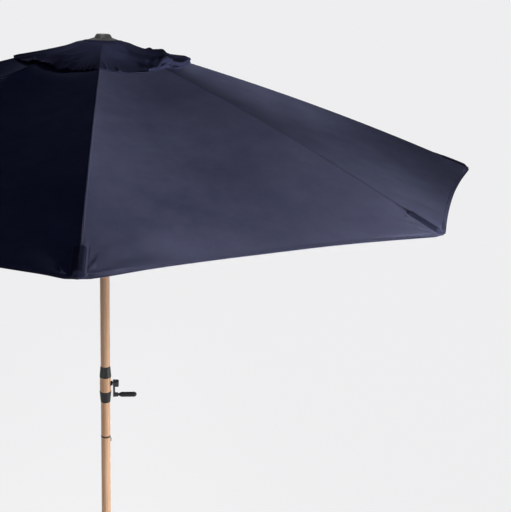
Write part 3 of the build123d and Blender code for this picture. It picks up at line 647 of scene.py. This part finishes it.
for number in range(1, GORES + 1):
    for half in "ab":
        panel_cloth(number, half)


SEAM_RISE = 0.0011  # middle of the seam above its edges
SEAM_SUNK = 0.0002  # its edges below the canopy's upper side


def seam_cloth(number):
    """The felled seam over a rib: one long raised band that runs out to the corner."""
    out, left = rib_frame(number)
    start, end, steps, half_wide = VENT * 0.98, SPAN - 0.0075, 150, 3

    def offset(i):
        return SEAM / 2 * (i - half_wide) / half_wide

    def place(i, j):
        radius = start + (end - start) * j / steps
        spot = out * radius + left * offset(i)
        rise = SEAM_RISE * (1 - (abs(i - half_wide) / half_wide) ** 4)
        pucker = 0.0003 * noise.noise(Vector((radius * 60, i * 0.7, number * 3.1)))
        return Vector((spot.x, spot.y, canopy_top(spot.x, spot.y) - SEAM_SUNK + rise + pucker))

    def cut(i, j):
        return offset(i), (end - start) * j / steps

    bm = cloth_grid(2 * half_wide, steps, place, cut, cut)
    piece = cloth_piece(f"seam_{number}", bm, navy_seam)
    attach(piece, f"rib_{number}")


POCKET_MOUTH = 1.335  # of the sock that a rib's tip sits in, from the pole axis
POCKET_END = 1.402
POCKET_NOSE = 0.008  # how far its rounded end goes on
POCKET_HALF = 0.0105  # half its width
POCKET_TOP = 0.0042  # its upper side, above the line of the seam
POCKET_BOTTOM = -0.0215
SQUARE = 0.6  # power that squares a round section; 1 leaves it round


def squared(value):
    """A sine or cosine pushed out towards the sides of a square."""
    return math.copysign(abs(value) ** SQUARE, value)


def corner_pocket(number):
    """Cloth sock under the corner that the rib's tip sits in: open inwards, closed and rounded outwards."""
    out, left = rib_frame(number)
    round_steps, long, nose = 20, 14, 7
    middle, half_tall = (POCKET_TOP + POCKET_BOTTOM) / 2, (POCKET_TOP - POCKET_BOTTOM) / 2

    def place(i, j):
        turn = 2 * math.pi * i / round_steps
        closing = max(0.0, (j - long) / nose) * math.pi / 2
        radius = POCKET_MOUTH + (POCKET_END - POCKET_MOUTH) * min(j, long) / long
        radius += POCKET_NOSE * math.sin(closing)
        girth = math.cos(closing) ** 0.7
        wide = squared(math.cos(turn)) * POCKET_HALF * girth
        tall = squared(math.sin(turn)) * half_tall * girth
        spot = out * radius + left * wide
        sag = 0.0006 * noise.noise(Vector((radius * 60, turn * 1.5, number * 2.3)))
        return Vector((spot.x, spot.y, seam_height(radius) + middle + tall + sag))

    def cut(i, j):
        return 0.075 * i / round_steps, 0.0065 * j

    bm = cloth_grid(round_steps, long + nose, place, cut)
    bmesh.ops.remove_doubles(bm, verts=bm.verts, dist=1e-5)
    bmesh.ops.recalc_face_normals(bm, faces=bm.faces)
    mouth = out * POCKET_MOUTH + Vector((0, 0, seam_height(POCKET_MOUTH)))
    if sum(face.normal.dot(face.calc_center_median() - mouth) for face in bm.faces) < 0:
        bmesh.ops.reverse_faces(bm, faces=bm.faces)
    piece = thicken(finish_mesh(f"corner_{number}", bm, navy_pocket_shaded), CLOTH * 0.8)
    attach(piece, f"rib_{number}")


COVER_HALF = 0.0170  # half the width of the cover over a rib's tip
COVER_START = 1.330
COVER_END = SPAN - 0.0082
COVER_SEAT = (0.0019, 0.0010)  # its upper side above the canopy, in the middle and at its edges


def pocket_cover(number):
    """Heavier cloth sewn over the rib's tip, from above, painted darker as painted shade."""
    out, left = rib_frame(number)
    wide, long = 16, 44

    def offset(i):
        return COVER_HALF * (2 * i / wide - 1)

    def place(i, j):
        aside = offset(i)
        radius = COVER_START + (COVER_END - COVER_START - 0.4 * abs(aside)) * j / long
        spot = out * radius + left * aside
        pucker = 0.0004 * noise.noise(Vector((radius * 110, aside * 90, number * 1.9)))
        high, low = COVER_SEAT
        seated = high - (high - low) * smooth(COVER_STITCH, 0.0165, abs(aside))
        return Vector((spot.x, spot.y, canopy_top(spot.x, spot.y) + seated + pucker))

    def cut(i, j):
        return offset(i), (COVER_END - COVER_START) * j / long

    bm = cloth_grid(wide, long, place, cut, cut)
    piece = cloth_piece(f"pocket_{number}", bm, navy_pocket_shaded)
    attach(piece, f"rib_{number}")


PATCH = (0.0235, 0.042)  # inner and outer edge of the patch beside a pocket, from the rib's line
PATCH_LENGTH = 0.118  # from its inner end to the corner
PATCH_RISE = 0.0009  # its upper side above the canopy


def corner_patch(number, side):
    """Reinforcement sewn flat to one gore beside the pocket."""
    out, left = rib_frame(number)
    wide, long = 8, 20

    def place(i, j):
        offset = PATCH[0] + (PATCH[1] - PATCH[0]) * i / wide
        end = SPAN - 0.0175 - 0.47 * offset
        along = SPAN - PATCH_LENGTH + (end - SPAN + PATCH_LENGTH) * j / long
        spot = out * along + left * side * offset
        return Vector((spot.x, spot.y, canopy_top(spot.x, spot.y) + PATCH_RISE))

    def cut(i, j):
        return side * PATCH[1] * i / wide, 0.1 * j / long

    bm = cloth_grid(wide, long, place, cut)
    piece = cloth_piece(f"patch_{number}{'ab'[side < 0]}", bm, navy, CLOTH * 0.7)
    turn_at_rib(piece, number, side)


for number in range(1, GORES + 1):
    seam_cloth(number)
    corner_pocket(number)
    pocket_cover(number)
    corner_patch(number, 1)
    corner_patch(number, -1)


# ---------------------------------------- vent cap
# millimetres that the slack hem stands up, from -X anticlockwise as seen from above; four lie on each gore
CAP_RIDGE = (
    12, 18, 27, 32, 28, 38, 12, 8, 5, 7, 6, 10, 44, 50, 44, 26,
    22, 42, 40, 41, 32, 50, 48, 38, 26, 23, 26, 22, 18, 26, 24, 18,
)
RIDGE_LEAST = 4.0  # millimetres


def ridge(azimuth):
    """How high the slack cloth stands above the canopy just inside the hem."""
    place = (azimuth / (2 * math.pi) + 0.5) % 1 * len(CAP_RIDGE)
    first = int(place)
    share = place - first
    a, b, c, d = (CAP_RIDGE[(first + step) % len(CAP_RIDGE)] for step in (-1, 0, 1, 2))
    curve = 2 * a - 5 * b + 4 * c - d + share * (3 * (b - c) + d - a)
    height = b + share / 2 * (c - a + share * curve)
    return max(RIDGE_LEAST, height) / 1000


ARCH = (184, 193, 236, 244)  # the hem stands up in an open arch, with its flap tucked far in
FLARE = (227, 233, 244, 254)  # and stands out beside it
FLARE_OUT = 0.012


def within(azimuth, start, full, fade, end):
    """1 from full to fade, 0 outside start and end, which are in degrees."""
    turn = math.degrees(azimuth) % 360
    return smooth(start, full, turn) * (1 - smooth(fade, end, turn))


# radius and height of the cap's taut middle
CONE = (
    (0.0, 2.548), (0.02, 2.5443), (0.053, 2.5336), (0.07, 2.5318), (0.098, 2.5262),
    (0.138, 2.5117), (0.18, 2.5005), (0.24, 2.4845), (0.36, 2.45),
)


def cone_height(radius):
    """Height of the cap where it is taut."""
    for (near, high), (far, low) in zip(CONE, CONE[1:]):
        if radius <= far:
            return high + (low - high) * (radius - near) / (far - near)
    return CONE[-1][1]


def gather(azimuth, scale, seed):
    """An uneven wave round the hem."""
    return noise.noise(Vector((math.cos(azimuth) * scale, math.sin(azimuth) * scale, seed)))


# folds pressed into the cap: radius and azimuth in degrees at each end, height and half width in metres
FOLDS = (
    (0.15, -121, 0.305, -111.5, 0.0085, 0.02), (0.225, -125, 0.315, -117.5, -0.011, 0.014),
    (0.245, -107, 0.315, -105.5, 0.005, 0.009), (0.25, -102.5, 0.315, -101.5, 0.0045, 0.007),
    (0.24, -98.5, 0.315, -97.5, 0.0055, 0.008), (0.255, -94.5, 0.315, -94.0, 0.0045, 0.006),
    (0.245, -87, 0.315, -85.0, 0.0035, 0.009), (0.26, -78, 0.315, -76.5, 0.0035, 0.008),
    (0.095, -76, 0.285, -49, 0.007, 0.02), (0.17, -72, 0.3, -57, -0.005, 0.02),
    (0.25, -58, 0.318, -55, 0.0075, 0.01), (0.235, -50, 0.318, -50.5, -0.008, 0.014),
    (0.15, -30, 0.3, -33, 0.008, 0.018), (0.13, -104, 0.27, -133, 0.0065, 0.018),
    (0.17, -108, 0.265, -118, -0.0045, 0.014), (0.19, -142, 0.31, -150, -0.006, 0.018),
    (0.16, -165, 0.3, -172, 0.006, 0.02), (0.14, 10, 0.3, 4, 0.006, 0.018),
    (0.12, 48, 0.3, 55, 0.0075, 0.02), (0.17, 66, 0.31, 73, -0.006, 0.016),
    (0.15, 100, 0.3, 93, 0.007, 0.018), (0.18, 122, 0.31, 128, 0.007, 0.016),
    (0.13, 150, 0.3, 158, 0.0065, 0.02), (0.2, 30, 0.31, 27, -0.006, 0.014),
)


def pressed(spot):
    """How far the folds raise or sink one point of the cap."""
    total = 0.0
    for near, near_turn, far, far_turn, height, width in FOLDS:
        start = ray(math.radians(near_turn)) * near
        end = ray(math.radians(far_turn)) * far
        line = end - start
        share = (spot - start).dot(line) / line.length_squared
        away = (spot - start - line * min(1.0, max(0.0, share))).length
        if away < width:
            total += height * (1 - smooth(0, width, away)) * smooth(0, 0.45, share)
    return total


CAP_CLEAR = 0.0038  # cap above the canopy where it lies on it
CAP_LEAST = 0.0028  # and nowhere less
SLACK_FROM = 0.165  # radius from which the cap is slack
SLACK_OVER = 0.150  # width over which that grows


def cap_place(radius, azimuth):
    """A point of the cap inside its hem: steep by the finial, then lying on the canopy with slack folds."""
    spot = ray(azimuth) * radius
    ground = canopy_top(spot.x, spot.y)
    lift = ridge(azimuth)
    loose = max(0.0, (radius - SLACK_FROM) / SLACK_OVER) ** 1.7
    low = ground + CAP_CLEAR + loose * (lift - CAP_CLEAR) - 0.12 * lift * smooth(0.306, 0.3235, radius)
    broad = 0.0030 * gather(azimuth, 7.0, 2.1) * min(1.0, lift / 0.02)
    low += loose * (broad + 0.0016 * gather(azimuth, 21.0, 4.4))
    crease = 0.0020 * (abs(gather(azimuth, 4.2, 0.6 + radius * 4)) - 0.2) * smooth(0.06, 0.12, radius)
    taut = smooth(0.085, 0.19, radius)
    height = cone_height(radius) * (1 - taut) + low * taut + crease + pressed(spot)
    spot.z = max(height, ground + CAP_LEAST)
    return spot


CAP_HOLLOW = 0.008  # how far its rim is drawn in between two corners
CREST = 0.45  # share of the falling hem that rolls over the slack crest


def cap_cloth(number, half):
    """Half of one gore of the cap; its hem falls from the slack crest to the canopy."""
    rib, side = hung_on(number, half)
    steps, flap, turned, wide = 48, 14, 5, 38

    def rim_of(i):
        share = i / wide
        lean = HALF * (1 - share)
        azimuth = GORE * (rib - 1) + side * HALF * share
        rim = CAP * math.cos(HALF) / math.cos(lean) - CAP_HOLLOW * math.sin(math.pi * share / 2) ** 2
        rim += FLARE_OUT * within(azimuth, *FLARE)
        return azimuth, rim + 0.0016 * gather(azimuth, 9.0, 7.7) + 0.0012 * gather(azimuth, 26.0, 3.3)

    def place(i, j):
        azimuth, rim = rim_of(i)
        # how far the cloth swells out past its crest, most where it stands high
        bulge = 0.0085 * smooth(0.004, 0.022, ridge(azimuth)) + 0.0015
        crest_radius = rim - bulge
        if j <= steps:
            return cap_place(CAP_CENTRE + (crest_radius - CAP_CENTRE) * (j / steps) ** 0.85, azimuth)
        direction = ray(azimuth)
        crest = cap_place(crest_radius, azimuth)
        open_arch = within(azimuth, *ARCH)
        foot_radius = rim - open_arch * 1.1 * ridge(azimuth)
        foot_spot = direction * foot_radius
        foot = canopy_top(foot_spot.x, foot_spot.y) + 0.0030 + 0.0022 * abs(gather(azimuth, 30.0, 5.2))
        if j <= steps + flap:
            fall = (j - steps) / flap
            drop = min(bulge, 0.6 * (crest.z - foot))
            if fall <= CREST:
                bow = fall / CREST * math.pi / 2
                radius, height = crest_radius + bulge * math.sin(bow), crest.z - drop * (1 - math.cos(bow))
            else:
                below = (fall - CREST) / (1 - CREST)
                hung = math.sin(math.pi * below ** 0.8)
                drawn_in = 1 - (1 - below) ** 3
                tucked = 0.34 * (crest.z - foot) * hung * (1 - open_arch) + (rim - foot_radius) * drawn_in
                wrinkle = 0.0022 * gather(azimuth, 17.0, 9.1 + fall) * math.sin(math.pi * below)
                radius, height = rim - tucked + wrinkle, crest.z - drop + (foot - crest.z + drop) * below
            return Vector((direction.x * radius, direction.y * radius, height))
        beyond = (j - steps - flap) / turned
        turn = min(beyond * 2.5, 1) * math.pi
        inward = max(0.0, beyond * 2.5 - 1) / 1.5
        radius = foot_radius - ROLL * (1 - math.cos(turn)) - 0.002 * inward
        height = foot - ROLL * 0.6 * math.sin(turn) + (crest.z - foot) * 0.35 * inward
        return Vector((direction.x * radius, direction.y * radius, height))

    def cut(i, j):
        return 0.12 * side * i / wide * (0.2 + 0.8 * j / steps), 0.28 * j / steps

    def edge(i, j):
        azimuth, rim = rim_of(i)
        fall = ridge(azimuth) + 0.005
        return (steps + flap - j) * (0.0085 if j <= steps else fall / flap), azimuth * rim

    bm = cloth_grid(wide, steps + flap + turned, place, cut, edge)
    piece = cloth_piece(f"cap_{number}{half}", bm, navy_cap_shaded, CLOTH * 0.8)
    turn_at_rib(piece, rib, side)


MIDDLE_HOLE = 0.0205  # round the neck of the finial
MIDDLE_RADIUS = 0.071
MIDDLE_RISE = 0.0012  # above the cap's own cloth


def cap_middle():
    """The doubled round of cloth under the finial."""
    wide, steps = 64, 8

    def polar(i, j):
        return MIDDLE_HOLE + (MIDDLE_RADIUS - MIDDLE_HOLE) * j / steps, 2 * math.pi * i / wide

    def place(i, j):
        spot = cap_place(*polar(i, j))
        spot.z += MIDDLE_RISE
        return spot

    def cut(i, j):
        radius, angle = polar(i, j)
        return radius * math.cos(angle), radius * math.sin(angle)

    def edge(i, j):
        return (steps - j) * 0.0063, MIDDLE_RADIUS * 2 * math.pi * i / wide

    bm = cloth_grid(wide, steps, place, cut, edge)
    bmesh.ops.remove_doubles(bm, verts=bm.verts, dist=1e-6)
    piece = cloth_piece("cap_middle", bm, navy_cap_shaded)
    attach(piece, "pole")
    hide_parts("vent_cap")


for number in range(1, GORES + 1):
    for half in "ab":
        cap_cloth(number, half)
cap_middle()

# ---------------------------------------- lifting cord
CORD = 0.003  # diameter
CORD_LINE = 0.0225  # outer run, from the pole axis
SHEAVE_TOP = 2.47  # where the cord leaves the top pulley
RUNNER_TOP = 2.0733
CRANK_HEIGHT = 1.156
SPOOL_LINE = -0.0123  # where the cord leaves the spool


def cord_run(name, route, centre):
    """A smooth round cord through the points of its route."""
    curve = bpy.data.curves.new(name, "CURVE")
    curve.dimensions = "3D"
    curve.bevel_depth = CORD / 2
    curve.bevel_resolution = 4
    curve.resolution_u = 24
    curve.use_fill_caps = True
    spline = curve.splines.new("NURBS")
    spline.points.add(len(route) - 1)
    for point, spot in zip(spline.points, route):
        point.co = (*spot, 1)
    spline.use_endpoint_u = True
    spline.order_u = 3
    curve.materials.append(braided_cord(name + "_braid", centre))
    piece = bpy.data.objects.new(name, curve)
    bpy.context.scene.collection.objects.link(piece)
    return piece


def lifting_cord():
    """Up inside the pole and over the sheave, then down outside it to the runner."""
    route = (
        (0, SPOOL_LINE, CRANK_HEIGHT), (0, -0.0100, 1.45), (0, -0.0050, 2.0), (0, 0.0, 2.455),
        (0, 0.0010, 2.4775), (0, 0.0065, 2.4812), (0, 0.0160, 2.4812), (0, 0.0222, 2.4775),
        (0, CORD_LINE, SHEAVE_TOP),
    )
    inner = cord_run("cord_inner", route, (0, -0.006))
    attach(inner, "pole")
    route = [(0, CORD_LINE, height) for height in (SHEAVE_TOP, 2.40, 2.20, RUNNER_TOP)]
    drawn = cord_run("cord_drawn", route, (0, CORD_LINE))
    outer = bpy.data.objects.new("cord_outer", bpy.data.meshes.new_from_object(drawn))
    drawn.data.bevel_depth = 0
    line = bpy.data.meshes.new_from_object(drawn)
    path = [tuple(point.co) for point in line.vertices]
    bpy.context.scene.collection.objects.link(outer)
    bpy.data.objects.remove(drawn)
    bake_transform(outer)
    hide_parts("lift_cord")


lifting_cord()

# ---------------------------------------- finishes on the solid parts
DRESS = {
    "base_feet": rubber_pad("rubber_feet"),
    "base_plate": coat, "base_cover": coat_cover, "sleeve_tube": coat_tube, "crank_arm": coat,
    "base_weight": cast_concrete("ballast"),
    "sleeve_bolts": steel, "lock_button": steel, "hub_pins": steel, "crank_shaft": steel,
    "button_spring": spring_steel, "brake_spring": spring_steel, "pole_ferrule": alloy,
    "pole_lower": oak, "pole_upper": oak, "crank_housing": oak,
    "clamp_knob": soft_grip, "crank_grip": soft_grip,
    "top_pulley": nylon_sheave("nylon_sheave"),
    "finial": capped_finial("finial_cast"),
}
RIB_LEAN, STRUT_LEAN = math.radians(-17.7), math.radians(27.3)  # with the canopy open
for number in range(1, GORES + 1):
    turn = GORE * (number - 1)
    DRESS[f"rib_{number}"] = printed_oak(f"rib_print_{number}", turn, RIB_LEAN)
    DRESS[f"strut_{number}"] = printed_oak(f"strut_print_{number}", turn, STRUT_LEAN)
for name in nodes:
    if name == "vent_cap" or name.startswith("panel"):
        DRESS[name] = navy
for name, part in nodes.items():
    part.data.materials.clear()
    part.data.materials.append(DRESS.get(name, charcoal))

# ---------------------------------------- floor, light and camera
SEEN = (0.94, 0.94, 0.94, 1)  # what the camera sees of the floor and the sky
SEEN_STRENGTH = 0.90
SKY_LIGHT = (0.36, 0.45, 1.0, 1)
SKY_STRENGTH = 0.12


def studio():
    """A pale floor under a pale sky: one plain colour to the camera, but for the shadow on the floor."""
    finish = Finish("studio_floor")
    finish.set(Base_Color=(0.8, 0.8, 0.8, 1), Roughness=0.9)
    path = finish.node("LightPath").outputs
    mirrored = finish.math("MAXIMUM", path["Is Glossy Ray"], path["Is Transmission Ray"])
    looks = finish.math("MAXIMUM", path["Is Camera Ray"], mirrored)
    glow = finish.node("Emission", {"Color": SEEN, "Strength": SEEN_STRENGTH})
    pale = finish.node("BsdfDiffuse", {"Color": (0.16, 0.16, 0.16, 1)})
    shown = finish.node("AddShader", {0: glow.outputs[0], 1: pale.outputs[0]})
    both = finish.node("MixShader", {0: looks, 1: finish.shader.outputs[0], 2: shown.outputs[0]})
    clear = finish.node("BsdfTransparent")
    beneath = finish.node("NewGeometry").outputs["Backfacing"]
    both = finish.node("MixShader", {0: beneath, 1: both.outputs[0], 2: clear.outputs[0]})
    finish.tree.links.new(both.outputs[0], finish.tree.nodes["Material Output"].inputs["Surface"])
    bm = bmesh.new()
    bmesh.ops.create_grid(bm, x_segments=1, y_segments=1, size=400)
    finish_mesh("studio_floor", bm, finish.material)
    world = bpy.data.worlds.new("studio")
    bpy.context.scene.world = world
    world.use_nodes = True
    tree = world.node_tree
    light = tree.nodes["Background"]
    light.inputs["Color"].default_value = SKY_LIGHT
    light.inputs["Strength"].default_value = SKY_STRENGTH
    shown = tree.nodes.new("ShaderNodeBackground")
    shown.inputs["Color"].default_value = SEEN
    shown.inputs["Strength"].default_value = SEEN_STRENGTH
    path = tree.nodes.new("ShaderNodeLightPath").outputs
    mixer = tree.nodes.new("ShaderNodeMixShader")
    either = tree.nodes.new("ShaderNodeMath")
    either.operation = "MAXIMUM"
    tree.links.new(path["Is Camera Ray"], either.inputs[0])
    tree.links.new(path["Is Glossy Ray"], either.inputs[1])
    tree.links.new(either.outputs[0], mixer.inputs[0])
    tree.links.new(light.outputs[0], mixer.inputs[1])
    tree.links.new(shown.outputs[0], mixer.inputs[2])
    tree.links.new(mixer.outputs[0], tree.nodes["World Output"].inputs["Surface"])


def lamp(name, azimuth, reach, height, aim, power, size, spread, tall=None):
    """A softbox at reach from the pole, turned to it at the height of aim; azimuth and spread in degrees."""
    light = bpy.data.lights.new(name, "AREA")
    light.shape = "RECTANGLE"
    light.size = size
    light.size_y = tall or size
    light.spread = math.radians(spread)
    light.energy = power
    turn = math.radians(azimuth)
    place, target = (reach * math.cos(turn), reach * math.sin(turn), height), (0, 0, aim)
    holder = bpy.data.objects.new(name, light)
    bpy.context.scene.collection.objects.link(holder)
    holder.location = place
    holder.rotation_mode = "QUATERNION"
    holder.rotation_quaternion = (Vector(target) - Vector(place)).to_track_quat("-Z", "Y")


def set_camera(place, heading, pitch, roll, focal):
    """Heading turns from +Y towards +X; pitch is below the level."""
    lens = bpy.data.cameras.new("camera")
    lens.sensor_fit = "HORIZONTAL"
    lens.sensor_width = 36.0
    lens.lens = focal
    lens.clip_end = 200
    camera = bpy.data.objects.new("camera", lens)
    bpy.context.scene.collection.objects.link(camera)
    turn, dip, tilt = (math.radians(angle) for angle in (heading, pitch, roll))
    ahead = Vector((math.sin(turn) * math.cos(dip), math.cos(turn) * math.cos(dip), -math.sin(dip)))
    right = Vector((math.cos(turn), -math.sin(turn), 0))
    up = right.cross(ahead)
    right, up = right * math.cos(tilt) + up * math.sin(tilt), up * math.cos(tilt) - right * math.sin(tilt)
    camera.matrix_world = Matrix.Translation(place) @ Matrix((right, up, -ahead)).transposed().to_4x4()
    bpy.context.scene.camera = camera


studio()
# low strips that graze the canopy: azimuth, height, power and length
STRIPS = {
    "strip_front": (-57.5, 1.66, 12.7, 1.40),
    "strip_right": (-2, 1.70, 4.2, 2.3),
    "strip_back": (132, 1.74, 12, 2.3),
}
for name, (azimuth, height, power, wide) in STRIPS.items():
    lamp(name, azimuth, 3.6, height, 2.34, power, size=wide, spread=14, tall=0.15)
lamp("cap_light", -125, 0.7, 5.5, 2.5, 0.62, size=0.15, spread=12)
# floor lamps for the pole and the base: azimuth and power
for name, azimuth, power in (("key", -20, 12.8), ("fill", -125, 3.8), ("rear", 90, 6)):
    lamp(name, azimuth, 4.5, 0.9, 0.62, power, size=1.2, spread=38)
set_camera((0.1583, -3.5541, 2.7779), heading=7.07, pitch=16.66, roll=2.41, focal=65.532681)
bpy.context.scene.view_settings.view_transform = "Standard"
